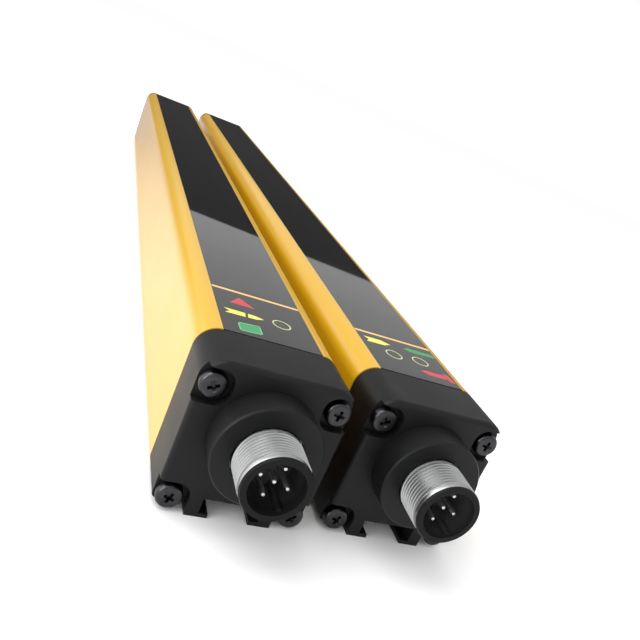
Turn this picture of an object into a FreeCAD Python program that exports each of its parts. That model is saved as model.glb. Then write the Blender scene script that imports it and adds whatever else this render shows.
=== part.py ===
import FreeCAD, Part
import math
import os
import Sketcher

# Safety light curtain: an emitter bar and a receiver bar that lie side by side on their backs.
# Each bar is modelled about its own middle plane: x across the bar, y along it from the joint
# of its connector cap, z from the feet on its back up to its window.

# Driving sizes in millimetres and degrees: name, value, what it is
SIZES = [
    ("bar_width", 28.0, "width of a bar across its window"),
    ("bar_depth", 30.0, "depth of a bar from feet to window"),
    ("bar_reach", 323.9, "length from the connector cap's joint to the far end"),
    ("bar_gap", 4.65, "clear gap between the two bars"),
    ("receiver_setback", 1.85, "how far the receiver bar lies behind the emitter bar"),
    ("front_round", 4.25, "radius of the profile's rounded front corners"),
    ("back_round", 1.0, "radius of the profile's back corners"),
    ("pad_width", 16.0, "width of the raised pad on the back"),
    ("pad_step", 1.1, "height of the pad over the back corners"),
    ("slot_mouth", 7.6, "opening between the lips of the T-slot"),
    ("slot_width", 11.1, "width of the T-slot behind its lips"),
    ("slot_depth", 3.9, "depth of the T-slot from the feet"),
    ("slot_lip", 0.8, "thickness of the T-slot's lips"),
    ("slot_roof", 1.5, "web between the T-slot and the inside"),
    ("flank_wall", 1.8, "wall of the profile's flanks"),
    ("corner_block", 5.6, "width of the solid corners that hold the screw channels"),
    ("corner_height", 7.4, "depth of the front corner blocks from the window face"),
    ("groove_depth", 0.7, "depth of the board grooves in the flanks"),
    ("board_thick", 1.6, "thickness of the circuit boards"),
    ("board_play", 0.1, "play of a board in its grooves"),
    ("optics_level", 10.6, "underside of the optics board"),
    ("control_level", 6.8, "underside of the control board"),
    ("window_thick", 2.0, "thickness of the window"),
    ("tape_thick", 0.4, "thickness of the tape under the window"),
    ("fit_play", 0.05, "play of each side of a seated piece"),
    ("label_thick", 0.15, "thickness of the printed label"),
    ("emitter_label_reach", 21.3, "length of the emitter's label field"),
    ("receiver_label_reach", 18.5, "length of the receiver's label field"),
    ("gasket_thick", 0.4, "thickness of the end gaskets"),
    ("gasket_inset", 0.15, "how far a gasket's rim lies inside the outline"),
    ("cap_reach", 12.8, "end face of the connector cap from its joint"),
    ("cap_end_wall", 3.0, "end wall of the connector cap"),
    ("cap_front_wall", 3.5, "wall of the connector cap over its cavity"),
    ("cap_edge_round", 0.9, "rounding of the cap's end edges"),
    ("far_cap_thick", 2.9, "thickness of the far cap"),
    ("far_bevel", 0.5, "bevel of the far cap's end edges"),
    ("screw_side", 2.65, "screw axis from the flank"),
    ("screw_low", 2.85, "lower screw axis from the feet"),
    ("screw_drop", 4.8, "upper screw axis below the window face"),
    ("shank_radius", 1.25, "radius of the cap screws"),
    ("head_radius", 2.4, "radius of the screw heads"),
    ("head_height", 1.9, "height of the screw heads"),
    ("pocket_half", 3.3, "half height of the screw pockets"),
    ("pocket_corner", 2.6, "rounding of the pockets' inner corners"),
    ("near_screw_length", 16.0, "length of the connector cap's screws"),
    ("far_screw_length", 8.0, "length of the far cap's screws"),
    ("plug_drop", 12.6, "plug axis below the window face"),
    ("boss_radius", 9.6, "radius of the round boss on the cap"),
    ("boss_height", 5.5, "height of the boss over the end face"),
    ("boss_bevel", 0.3, "bevel of the boss's front edge"),
    ("boss_lip", 2.0, "front wall of the boss around the plug"),
    ("thread_radius", 6.0, "outer radius of the plug's thread"),
    ("thread_reach", 7.4, "length of the plug shell in front of the boss"),
    ("shell_wall", 0.7, "wall of the plug shell"),
    ("neck_depth", 0.25, "depth of the groove where the thread runs out"),
    ("neck_lead", 0.3, "how far that groove stands out of the boss"),
    ("bore_play", 0.2, "play of the plug shell in the boss"),
    ("collar_radius", 7.4, "radius of the shell's collar"),
    ("collar_thick", 2.0, "thickness of the shell's collar"),
    ("collar_play", 0.2, "play of the collar in the cap"),
    ("nut_thick", 2.0, "thickness of the lock nut"),
    ("nut_play", 0.05, "play of the lock nut on the shell and in the cap"),
    ("insert_rim_radius", 5.95, "radius of the insert's rim at the shell"),
    ("insert_rim_taper", 0.2, "how much narrower the rim's front edge is"),
    ("insert_rim_thick", 0.5, "thickness of the insert's front rim"),
    ("plug_cavity_radius", 4.72, "radius of the plug's open inside"),
    ("plug_cavity_depth", 8.0, "depth of the plug's open inside"),
    ("key_radius", 0.55, "radius of the coding rib in the plug"),
    ("key_inset", 0.15, "coding rib's middle inside the cavity's wall"),
    ("key_setback", 0.6, "coding rib's end behind the plug's rim"),
    ("key_lag", 135.0, "turn from the coding rib to the first pin, degrees"),
    ("pin_radius", 0.5, "radius of the plug pins"),
    ("pin_circle", 2.8, "circle of the outer pins"),
    ("pin_turn", 71.7, "turn of the first pin from the x axis, degrees"),
    ("pin_setback", 2.2, "pin tips behind the plug's rim"),
    ("plug_board_gap", 2.5, "gap between the insert and the plug board"),
    ("plug_board_width", 15.6, "width of the plug board"),
    ("plug_board_margin", 0.9, "plug board's upper edge from the cap's inside"),
    ("cable_width", 8.0, "width of the flat cable"),
    ("cable_thick", 0.3, "thickness of the flat cable"),
    ("socket_length", 4.0, "length of the flat cable's socket"),
    ("socket_height", 1.5, "height of the flat cable's socket"),
    ("board_start", 6.0, "boards from the connector cap's joint"),
    ("board_end_gap", 5.0, "boards from the profile's far end"),
    ("control_length", 130.0, "length of the control board"),
    ("header_margin", 6.0, "board header from the control board's end"),
    ("header_length", 12.0, "length of the board header"),
    ("header_width", 5.0, "width of the board header"),
    ("chip_side", 10.0, "side of a control chip"),
    ("chip_height", 1.4, "height of a control chip"),
    ("first_beam", 41.0, "first beam from the connector cap's joint"),
    ("last_beam", 22.9, "last beam from the bar's far end"),
    ("carrier_width", 16.0, "width of the optics carrier"),
    ("carrier_overrun", 10.0, "carrier past the outer beams"),
    ("aperture_half", 2.7, "half width of the opening around a beam's component"),
    ("chamber_half", 6.6, "half width of the light chamber under a lens"),
    ("chamber_floor", 3.0, "floor of the light chamber over the board"),
    ("lens_plate", 2.0, "thickness of the lens strip's plate"),
    ("lens_half", 6.6, "half width of a lens on its plate"),
    ("lens_rise", 1.9, "rise of a lens over its plate"),
    ("lens_gap", 0.9, "gap between the lenses and the window"),
    ("lens_strip_width", 16.4, "width of the lens strip"),
    ("diode_side", 3.2, "side of an infrared LED"),
    ("diode_height", 1.9, "height of an infrared LED"),
    ("cell_side", 3.6, "side of a photodiode"),
    ("cell_height", 1.2, "height of a photodiode"),
    ("status_place", 9.5, "status lights from the connector cap's joint"),
    ("emitter_light_offset", 3.4, "emitter's status light from the middle"),
    ("receiver_light_offset", 3.35, "receiver's status lights from the middle"),
    ("guide_radius", 1.6, "radius of a light guide"),
    ("status_led_side", 3.0, "side of a status LED"),
    ("status_led_height", 1.4, "height of a status LED"),
]

BEAM_COUNT = 14
CHIP_COUNT = 4
OUTER_PINS = 4
HEX_SIDES = 6
SMALL_SIDES = 12
EDGE_MARGIN = 0.1
PARTS_FOLDER = "parts"


class Length:
    """A length with its number and the sheet formula that it comes from."""

    def __init__(self, number, formula):
        self.number = number
        self.formula = formula

    def __add__(self, other):
        other = length(other)
        return Length(self.number + other.number, f"({self.formula} + {other.formula})")

    def __radd__(self, other):
        return length(other) + self

    def __sub__(self, other):
        other = length(other)
        return Length(self.number - other.number, f"({self.formula} - {other.formula})")

    def __rsub__(self, other):
        return length(other) - self

    def __mul__(self, factor):
        factor = length(factor)
        return Length(self.number * factor.number, f"({self.formula} * {factor.formula})")

    def __truediv__(self, factor):
        factor = length(factor)
        return Length(self.number / factor.number, f"({self.formula} / {factor.formula})")

    def __neg__(self):
        return Length(-self.number, f"(0 - {self.formula})")


def length(value):
    """Any number or length as a length."""
    return value if isinstance(value, Length) else Length(float(value), repr(float(value)))


def cosine(angle):
    """Cosine of an angle in degrees."""
    return Length(math.cos(math.radians(angle.number)), f"cos({angle.formula} * 1 deg)")


def sine(angle):
    """Sine of an angle in degrees."""
    return Length(math.sin(math.radians(angle.number)), f"sin({angle.formula} * 1 deg)")


class Sizes:
    """The cells of the sheet, each read by its name as a length."""

    def __init__(self, document):
        self.sheet = document.addObject("Spreadsheet::Sheet", "sizes")
        for row, (name, value, note) in enumerate(SIZES, start=1):
            self.sheet.set(f"A{row}", note)
            self.sheet.set(f"B{row}", str(value))
            self.sheet.setAlias(f"B{row}", name)
        document.recompute()

    def __getattr__(self, name):
        return Length(float(self.sheet.get(name)), f"sizes.{name}")


doc = FreeCAD.newDocument("safety_light_curtain")
s = Sizes(doc)

# Places that several pieces share
half_width = s.bar_width / 2
half_pad = s.pad_width / 2
half_mouth = s.slot_mouth / 2
half_slot = s.slot_width / 2
slot_floor = s.slot_depth + s.slot_roof
window_edge = half_width - s.front_round
inner_edge = half_width - s.corner_block
cavity_edge = half_width - s.flank_wall
seat_level = s.bar_depth - s.window_thick - s.tape_thick
window_back = s.bar_depth - s.window_thick
profile_end = s.bar_reach - s.far_cap_thick - s.gasket_thick
screw_offset = half_width - s.screw_side
screw_high = s.bar_depth - s.screw_drop
plug_height = s.bar_depth - s.plug_drop
end_face = -s.cap_reach
cap_joint = -s.gasket_thick
cap_inside = end_face + s.cap_end_wall
pocket_floor = end_face + s.head_height
far_joint = profile_end + s.gasket_thick
far_pocket_floor = s.bar_reach - s.head_height
boss_front = end_face - s.boss_height
lip_inside = boss_front + s.boss_lip
collar_back = lip_inside + s.collar_thick
shell_front = boss_front - s.thread_reach
shell_back = collar_back + s.nut_thick
shell_bore = s.thread_radius - s.shell_wall
neck_start = boss_front - s.neck_lead
neck_radius = s.thread_radius - s.neck_depth
plug_front = shell_front - s.insert_rim_thick
plug_floor = plug_front + s.plug_cavity_depth
pin_tip = plug_front + s.pin_setback
plug_board_front = shell_back + s.plug_board_gap
plug_board_back = plug_board_front + s.board_thick
control_top = s.control_level + s.board_thick
optics_top = s.optics_level + s.board_thick
carrier_top = window_back - s.lens_gap - s.lens_rise - s.lens_plate
carrier_height = carrier_top - optics_top
beam_pitch = (s.bar_reach - s.first_beam - s.last_beam) / (BEAM_COUNT - 1)
carrier_start = s.first_beam - s.carrier_overrun
carrier_length = beam_pitch * (BEAM_COUNT - 1) + s.carrier_overrun * 2
cable_top = control_top + s.socket_height - s.cable_thick
cable_low = cable_top - s.cable_thick
socket_end = s.board_start + s.socket_length
header_place = s.board_start + s.control_length - s.header_margin - s.header_length
chip_pitch = (header_place - socket_end) / CHIP_COUNT
chip_first = socket_end + chip_pitch / 2
bar_centre = (s.bar_width + s.bar_gap) / 2
middle_place = (plug_front + s.bar_reach + s.receiver_setback) / 2
SCREW_PLACES = [(side, height) for side in (-1, 1) for height in (s.screw_low, screw_high)]


def bind(item, path, value):
    """Tie a property to its formula in the sheet."""
    item.setExpression(path, length(value).formula)


def plane_or_axis(body, role):
    """Origin plane or axis of a body."""
    return next(item for item in body.Origin.OriginFeatures if item.Role == role)


def new_sketch(body, role, level, lift=0.0, shift=0.0):
    """Sketch on an origin plane of the body, moved along the plane's normal and in the plane."""
    sketch = body.newObject("Sketcher::SketchObject", f"{body.Name}_sketch")
    sketch.AttachmentSupport = [(plane_or_axis(body, role), "")]
    sketch.MapMode = "FlatFace"
    bind(sketch, "AttachmentOffset.Base.z", level)
    bind(sketch, "AttachmentOffset.Base.y", lift)
    bind(sketch, "AttachmentOffset.Base.x", shift)
    return sketch


def section_at(body, level):
    """Sketch of a cross-section at a place along the bar."""
    return new_sketch(body, "XZ_Plane", -length(level))


def layer_at(body, level):
    """Sketch that lies parallel to the window at a height."""
    return new_sketch(body, "XY_Plane", level)


def fixed_point(edge, end, place):
    """Constraints, each with its length, that fix an end or the centre of an edge."""
    fixes = []
    for kind, value in zip(("DistanceX", "DistanceY"), place):
        value = length(value)
        fixes.append((Sketcher.Constraint(kind, -1, 1, edge, end, value.number), value))
    return fixes


def tie(sketch, fixes):
    """Add constraints and tie each to its length."""
    numbers = sketch.addConstraint([constraint for constraint, _ in fixes])
    for number, (_, value) in zip(numbers, fixes):
        bind(sketch, f"Constraints[{number}]", value)


def arc_between(start, stop, radius):
    """Arc that turns left from start to stop."""
    middle = (start + stop) / 2
    chord = stop - start
    rise = math.sqrt(max(radius ** 2 - (chord.Length / 2) ** 2, 0.0))
    left = FreeCAD.Vector(-chord.y, chord.x, 0).normalize()
    centre = middle + left * rise
    angles = [math.atan2(end.y - centre.y, end.x - centre.x) for end in (start, stop)]
    return Part.ArcOfCircle(Part.Circle(centre, FreeCAD.Vector(0, 0, 1), radius), *angles)


def outline(sketch, points, arcs=None):
    """Closed outline through points, counter-clockwise, with arcs on the edges that are listed."""
    arcs = arcs or {}
    spots = [FreeCAD.Vector(length(x).number, length(y).number, 0) for x, y in points]
    first = sketch.GeometryCount
    edges, joins, fixes = [], [], []
    for index, start in enumerate(spots):
        after = (index + 1) % len(points)
        if index in arcs:
            edges.append(arc_between(start, spots[after], arcs[index].number))
        else:
            edges.append(Part.LineSegment(start, spots[after]))
        joins.append(Sketcher.Constraint("Coincident", first + index, 2, first + after, 1))
        fixes += fixed_point(first + index, 1, points[index])
    for index, radius in arcs.items():
        fixes.append((Sketcher.Constraint("Radius", first + index, radius.number), radius))
    sketch.addGeometry(edges)
    sketch.addConstraint(joins)
    tie(sketch, fixes)


def rectangle(sketch, left, right, low, high):
    """Rectangle by its four sides."""
    outline(sketch, [(left, low), (right, low), (right, high), (left, high)])


def circle(sketch, x, y, radius):
    """Circle by its centre and radius."""
    centre = FreeCAD.Vector(length(x).number, length(y).number, 0)
    edge = sketch.addGeometry(Part.Circle(centre, FreeCAD.Vector(0, 0, 1), radius.number))
    tie(sketch, fixed_point(edge, 3, (x, y)) + [(Sketcher.Constraint("Radius", edge, radius.number), radius)])


def add_feature(body, kind, name, sketch=None):
    """New feature of the body, which becomes its tip."""
    feature = body.newObject(f"PartDesign::{kind}", f"{body.Name}_{name}")
    if sketch is not None:
        feature.Profile = sketch
        sketch.Visibility = False
    body.Tip = feature
    return feature


def pad(body, sketch, height, name="pad", flip=False):
    """Grow a sketch: along the bar for a section, upward for a layer."""
    feature = add_feature(body, "Pad", name, sketch)
    bind(feature, "Length", height)
    feature.Reversed = flip
    return feature


def pad_along(body, sketch, reach, name="pad"):
    """Grow a section along the bar, away from the connector."""
    return pad(body, sketch, reach, name, flip=True)


def cut(body, sketch, depth, name="cut"):
    """Cut a sketch: along the bar for a section, downward for a layer."""
    feature = add_feature(body, "Pocket", name, sketch)
    bind(feature, "Length", depth)
    return feature


def turn(body, points):
    """Turned piece about the plug's axis: points are place along the bar and radius."""
    sketch = new_sketch(body, "YZ_Plane", 0.0, plug_height)
    outline(sketch, points)
    feature = add_feature(body, "Revolution", "turn", sketch)
    feature.ReferenceAxis = (sketch, ["H_Axis"])
    feature.Angle = 360


def ease_edges(body, base, kind, size, chosen, name="ease"):
    """Fillet or Chamfer on the edges of a feature that pass a test."""
    doc.recompute()
    names = [f"Edge{index}" for index, edge in enumerate(base.Shape.Edges, start=1) if chosen(edge)]
    feature = add_feature(body, kind, name)
    feature.Base = (base, names)
    bind(feature, {"Fillet": "Radius", "Chamfer": "Size"}[kind], size)
    return feature


def in_plane(edge, level):
    """True where the whole edge lies in one plane across the bar."""
    box = edge.BoundBox
    return abs(box.YMin - level.number) < 1e-4 and abs(box.YMax - level.number) < 1e-4


def repeat_along(body, feature, pitch, count, name="row"):
    """Row of copies along the bar."""
    doc.recompute()
    pattern = add_feature(body, "LinearPattern", name)
    pattern.Originals = [feature]
    pattern.Direction = (plane_or_axis(body, "Y_Axis"), [""])
    pattern.Mode = "Spacing"
    bind(pattern, "Offset", pitch)
    pattern.Occurrences = count


def slotted_outline(sketch):
    """Outer section of a bar with its T-slot."""
    corner = half_width - s.back_round
    rise = s.pad_step + s.back_round
    shoulder = s.bar_depth - s.front_round
    points = [
        (half_mouth, length(0)), (half_pad, length(0)), (half_pad, s.pad_step), (corner, s.pad_step),
        (half_width, rise), (half_width, shoulder), (window_edge, s.bar_depth),
        (-window_edge, s.bar_depth), (-half_width, shoulder), (-half_width, rise),
        (-corner, s.pad_step), (-half_pad, s.pad_step), (-half_pad, length(0)),
        (-half_mouth, length(0)), (-half_mouth, s.slot_lip), (-half_slot, s.slot_lip),
        (-half_slot, s.slot_depth), (half_slot, s.slot_depth), (half_slot, s.slot_lip),
        (half_mouth, s.slot_lip),
    ]
    outline(sketch, points, {3: s.back_round, 5: s.front_round, 7: s.front_round, 9: s.back_round})


def profile_outline(sketch):
    """Section of the extruded profile: open front with window seats, board grooves, T-slot."""
    groove = cavity_edge + s.groove_depth
    block = s.bar_depth - s.corner_height
    seat_side = [
        (window_edge, s.bar_depth), (window_edge, seat_level), (inner_edge, seat_level),
        (inner_edge, block), (cavity_edge, block),
        (cavity_edge, optics_top + s.board_play), (groove, optics_top + s.board_play),
        (groove, s.optics_level), (cavity_edge, s.optics_level),
        (cavity_edge, control_top + s.board_play), (groove, control_top + s.board_play),
        (groove, s.control_level), (cavity_edge, s.control_level), (cavity_edge, slot_floor),
    ]
    back_side = [
        (half_mouth, length(0)), (half_pad, length(0)), (half_pad, s.pad_step),
        (half_width - s.back_round, s.pad_step), (half_width, s.pad_step + s.back_round),
        (half_width, s.bar_depth - s.front_round),
    ]
    slot_side = [(half_slot, s.slot_depth), (half_slot, s.slot_lip), (half_mouth, s.slot_lip)]
    right = slot_side + back_side + seat_side
    left = [(-x, z) for x, z in reversed(right)]
    front_arc = len(slot_side) + len(back_side) - 1
    back_arc = front_arc - 2
    mirror = 2 * len(right) - 2
    rounds = {
        back_arc: s.back_round, front_arc: s.front_round,
        mirror - front_arc: s.front_round, mirror - back_arc: s.back_round,
    }
    outline(sketch, right + left, rounds)


def many_sided(sketch, x, y, radius, sides):
    """Regular outline around a centre, with its corners on the radius."""
    angles = [length(360 / sides * index) for index in range(sides)]
    outline(sketch, [(x + radius * cosine(angle), y + radius * sine(angle)) for angle in angles])


def screw_rounds(sketch, radius):
    """Small round at each of the four screw places."""
    for side, height in SCREW_PLACES:
        many_sided(sketch, screw_offset * side, height, radius, SMALL_SIDES)


def pocket_outlines(sketch):
    """Screw pockets: the upper pair opens through the flanks, the lower pair through the corners."""
    outside = half_width + s.back_round
    inside = screw_offset - s.pocket_half
    low = screw_high - s.pocket_half
    high = screw_high + s.pocket_half
    corner = s.pocket_corner
    upper = [(outside, low), (outside, high), (inside + corner, high), (inside, high - corner),
             (inside, low + corner), (inside + corner, low)]
    outline(sketch, upper, {2: corner, 4: corner})
    outline(sketch, [(-x, z) for x, z in reversed(upper)], {0: corner, 2: corner})
    below = -s.back_round
    top = s.screw_low + s.pocket_half
    lower = [(inside, below), (outside, below), (outside, top), (inside + corner, top),
             (inside, top - corner)]
    outline(sketch, lower, {3: corner})
    outline(sketch, [(-x, z) for x, z in reversed(lower)], {0: corner})


def pin_rounds(sketch, radius):
    """Small round at each pin of the plug: a middle one and a circle of outer ones."""
    many_sided(sketch, 0.0, plug_height, radius, SMALL_SIDES)
    for index in range(OUTER_PINS):
        angle = s.pin_turn + 360 / OUTER_PINS * index
        x = s.pin_circle * cosine(angle)
        y = plug_height + s.pin_circle * sine(angle)
        many_sided(sketch, x, y, radius, SMALL_SIDES)


def make_profile(body):
    sketch = section_at(body, 0.0)
    profile_outline(sketch)
    screw_rounds(sketch, s.shank_radius + s.fit_play)
    pad_along(body, sketch, profile_end)


def make_window(body, label_reach):
    sketch = layer_at(body, window_back)
    half = window_edge - s.fit_play
    rectangle(sketch, -half, half, s.fit_play, profile_end - s.fit_play)
    pad(body, sketch, s.window_thick)
    recess = layer_at(body, s.bar_depth)
    rectangle(recess, -half - s.fit_play, half + s.fit_play, length(0), label_reach)
    cut(body, recess, s.label_thick, "label_recess")


def make_window_tape(body):
    sketch = section_at(body, 0.0)
    rectangle(sketch, inner_edge, window_edge - s.fit_play, seat_level, window_back)
    rectangle(sketch, -window_edge + s.fit_play, -inner_edge, seat_level, window_back)
    pad_along(body, sketch, profile_end)


def make_label(body, label_reach):
    sketch = layer_at(body, s.bar_depth - s.label_thick)
    half = window_edge - s.fit_play
    rectangle(sketch, -half, half, s.fit_play, label_reach - s.fit_play)
    pad(body, sketch, s.label_thick)


def end_edges(level):
    """Test for the outer edges of a cap's end face, without those of its T-slot and pad."""
    def chosen(edge):
        middle = edge.CenterOfMass
        beside = abs(middle.x) > half_pad.number + EDGE_MARGIN or middle.z > slot_floor.number
        return in_plane(edge, level) and beside and middle.z > s.pad_step.number + EDGE_MARGIN
    return chosen


def make_connector_cap(body):
    sketch = section_at(body, end_face)
    slotted_outline(sketch)
    block = pad_along(body, sketch, s.cap_reach - s.gasket_thick)
    ease_edges(body, block, "Fillet", s.cap_edge_round, end_edges(end_face))
    foot = section_at(body, boss_front)
    circle(foot, 0.0, plug_height, s.boss_radius)
    boss = pad_along(body, foot, s.boss_height, "boss")
    ease_edges(body, boss, "Chamfer", s.boss_bevel, lambda edge: in_plane(edge, boss_front), "bevel")
    bore = section_at(body, boss_front)
    circle(bore, 0.0, plug_height, s.thread_radius + s.bore_play)
    cut(body, bore, s.boss_lip, "bore")
    seat = section_at(body, lip_inside)
    many_sided(seat, 0.0, plug_height, s.collar_radius + s.collar_play, HEX_SIDES)
    cut(body, seat, cap_inside - lip_inside, "collar_seat")
    inside = section_at(body, cap_inside)
    rectangle(inside, -inner_edge, inner_edge, slot_floor, s.bar_depth - s.cap_front_wall)
    cut(body, inside, cap_joint - cap_inside, "inside")
    holes = section_at(body, pocket_floor)
    screw_rounds(holes, s.shank_radius + s.fit_play)
    cut(body, holes, cap_joint - pocket_floor, "screw_holes")
    pockets = section_at(body, end_face)
    pocket_outlines(pockets)
    cut(body, pockets, s.head_height, "screw_pockets")


def make_far_cap(body):
    sketch = section_at(body, far_joint)
    slotted_outline(sketch)
    plate = pad_along(body, sketch, s.far_cap_thick)
    ease_edges(body, plate, "Chamfer", s.far_bevel, end_edges(s.bar_reach))
    holes = section_at(body, far_joint)
    screw_rounds(holes, s.shank_radius + s.fit_play)
    cut(body, holes, s.far_cap_thick, "screw_holes")
    pockets = section_at(body, far_pocket_floor)
    pocket_outlines(pockets)
    cut(body, pockets, s.head_height, "screw_pockets")


def make_gasket(body, start):
    low = s.slot_depth + s.gasket_inset
    top = s.bar_depth - s.gasket_inset
    side = half_width - s.gasket_inset
    arm_low = s.screw_low + s.pocket_half
    arm_top = screw_high - s.pocket_half
    right = [(window_edge, low), (window_edge, arm_low), (side, arm_low), (side, arm_top),
             (window_edge, arm_top), (window_edge, top)]
    sketch = section_at(body, start)
    outline(sketch, right + [(-x, z) for x, z in reversed(right)])
    rectangle(sketch, -inner_edge, inner_edge, slot_floor, s.bar_depth - s.cap_front_wall)
    pad_along(body, sketch, s.gasket_thick)


def make_screws(body, head_start, shank_start, shank_length):
    heads = section_at(body, head_start)
    screw_rounds(heads, s.head_radius)
    pad_along(body, heads, s.head_height, "heads")
    shanks = section_at(body, shank_start)
    screw_rounds(shanks, s.shank_radius)
    pad_along(body, shanks, shank_length, "shanks")


def make_connector_cap_screws(body):
    make_screws(body, end_face, pocket_floor, s.near_screw_length)


def make_far_cap_screws(body):
    start = far_pocket_floor - s.far_screw_length
    make_screws(body, far_pocket_floor, start, s.far_screw_length)


def make_plug_shell(body):
    turn(body, [
        (shell_front, shell_bore), (shell_back, shell_bore), (shell_back, s.thread_radius),
        (lip_inside, s.thread_radius), (lip_inside, neck_radius), (neck_start, neck_radius),
        (neck_start, s.thread_radius), (shell_front, s.thread_radius),
    ])
    collar = section_at(body, lip_inside)
    many_sided(collar, 0.0, plug_height, s.collar_radius, HEX_SIDES)
    circle(collar, 0.0, plug_height, shell_bore)
    pad_along(body, collar, s.collar_thick, "collar")


def make_plug_lock_nut(body):
    sketch = section_at(body, collar_back)
    many_sided(sketch, 0.0, plug_height, s.collar_radius + s.collar_play - s.nut_play, HEX_SIDES)
    bore = (s.thread_radius + s.nut_play) / cosine(length(180 / SMALL_SIDES))
    many_sided(sketch, 0.0, plug_height, bore, SMALL_SIDES)
    pad_along(body, sketch, s.nut_thick)


def make_plug_insert(body):
    sleeve = shell_bore - s.fit_play
    turn(body, [
        (plug_floor, length(0)), (shell_back, length(0)), (shell_back, sleeve), (shell_front, sleeve),
        (shell_front, s.insert_rim_radius), (plug_front, s.insert_rim_radius - s.insert_rim_taper),
        (plug_front, s.plug_cavity_radius), (plug_floor, s.plug_cavity_radius),
    ])
    key_start = plug_front + s.key_setback
    key_place = s.plug_cavity_radius - s.key_inset
    key_turn = s.pin_turn - s.key_lag
    key = section_at(body, key_start)
    circle(key, key_place * cosine(key_turn), plug_height + key_place * sine(key_turn), s.key_radius)
    pad_along(body, key, plug_floor - key_start, "key")
    holes = section_at(body, plug_floor)
    pin_rounds(holes, s.pin_radius + s.fit_play)
    cut(body, holes, shell_back - plug_floor, "pin_holes")


def make_plug_pins(body):
    sketch = section_at(body, pin_tip)
    pin_rounds(sketch, s.pin_radius)
    pad_along(body, sketch, plug_board_front - pin_tip)


def make_plug_board(body):
    half = s.plug_board_width / 2
    top = s.bar_depth - s.cap_front_wall - s.plug_board_margin
    sketch = section_at(body, plug_board_front)
    rectangle(sketch, -half, half, cable_low - s.board_play, top)
    pad_along(body, sketch, s.board_thick)


def make_flat_cable(body):
    half = s.cable_width / 2
    sketch = section_at(body, plug_board_back)
    rectangle(sketch, -half, half, cable_low, cable_top)
    pad_along(body, sketch, s.board_start - plug_board_back)


def make_cable_socket(body):
    half = s.cable_width / 2 + s.cable_thick * 2
    sketch = layer_at(body, control_top)
    rectangle(sketch, -half, half, s.board_start, socket_end)
    pad(body, sketch, s.socket_height)


def make_board(body, level, board_end):
    half = cavity_edge + s.groove_depth - s.board_play
    sketch = layer_at(body, level)
    rectangle(sketch, -half, half, s.board_start, board_end)
    pad(body, sketch, s.board_thick)


def make_control_board(body):
    make_board(body, s.control_level, s.board_start + s.control_length)


def make_optics_board(body):
    make_board(body, s.optics_level, profile_end - s.board_end_gap)


def make_control_chips(body):
    half = s.chip_side / 2
    sketch = layer_at(body, control_top)
    rectangle(sketch, -half, half, chip_first - half, chip_first + half)
    chip = pad(body, sketch, s.chip_height)
    repeat_along(body, chip, chip_pitch, CHIP_COUNT)


def make_board_header(body):
    half = s.header_width / 2
    sketch = layer_at(body, control_top)
    rectangle(sketch, -half, half, header_place, header_place + s.header_length)
    pad(body, sketch, s.optics_level - control_top)


def beam_square(body, level, half):
    """Square around the first beam, on a layer of the body."""
    sketch = layer_at(body, level)
    rectangle(sketch, -half, half, s.first_beam - half, s.first_beam + half)
    return sketch


def make_optics_carrier(body):
    half = s.carrier_width / 2
    sketch = layer_at(body, optics_top)
    rectangle(sketch, -half, half, carrier_start, carrier_start + carrier_length)
    pad(body, sketch, carrier_height)
    depth = carrier_height - s.chamber_floor
    chamber = cut(body, beam_square(body, carrier_top, s.chamber_half), depth, "chamber")
    repeat_along(body, chamber, beam_pitch, BEAM_COUNT, "chambers")
    aperture = cut(body, beam_square(body, carrier_top, s.aperture_half), carrier_height, "aperture")
    repeat_along(body, aperture, beam_pitch, BEAM_COUNT, "apertures")


def make_lens_strip(body):
    half = s.lens_strip_width / 2
    sketch = layer_at(body, carrier_top)
    rectangle(sketch, -half, half, carrier_start, carrier_start + carrier_length)
    pad(body, sketch, s.lens_plate)
    face = carrier_top + s.lens_plate
    reach = s.lens_half
    crown = (reach * reach + s.lens_rise * s.lens_rise) / (s.lens_rise * 2)
    arch = new_sketch(body, "YZ_Plane", 0.0, 0.0, s.first_beam)
    outline(arch, [(-reach, face), (reach, face)], {1: crown})
    lens = add_feature(body, "Pad", "lens", arch)
    bind(lens, "Length", reach * 2)
    lens.Midplane = True
    repeat_along(body, lens, beam_pitch, BEAM_COUNT, "lenses")


def make_beam_parts(body, side, height):
    part = pad(body, beam_square(body, optics_top, side / 2), height)
    repeat_along(body, part, beam_pitch, BEAM_COUNT)


def make_status_leds(body, offsets):
    half = s.status_led_side / 2
    sketch = layer_at(body, optics_top)
    for offset in offsets:
        rectangle(sketch, offset - half, offset + half, s.status_place - half, s.status_place + half)
    pad(body, sketch, s.status_led_height)


def make_light_guides(body, offsets):
    start = optics_top + s.status_led_height
    sketch = layer_at(body, start)
    for offset in offsets:
        many_sided(sketch, offset, s.status_place, s.guide_radius, SMALL_SIDES)
    pad(body, sketch, window_back - s.fit_play - start)


def piece(bar, name, make, *details):
    """One named piece of a bar, put where the bar lies."""
    body = doc.addObject("PartDesign::Body", f"{bar.name}_{name}")
    body.Label = f"{bar.name}_{name}"
    make(body, *details)
    bind(body, "Placement.Base.x", bar_centre * bar.side)
    bind(body, "Placement.Base.y", bar.setback - middle_place)
    doc.recompute()
    return body


class Bar:
    """What tells one bar from the other."""

    def __init__(self, name, side, setback, label_reach, lights):
        self.name = name
        self.side = side
        self.setback = setback
        self.label_reach = label_reach
        self.lights = lights


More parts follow.
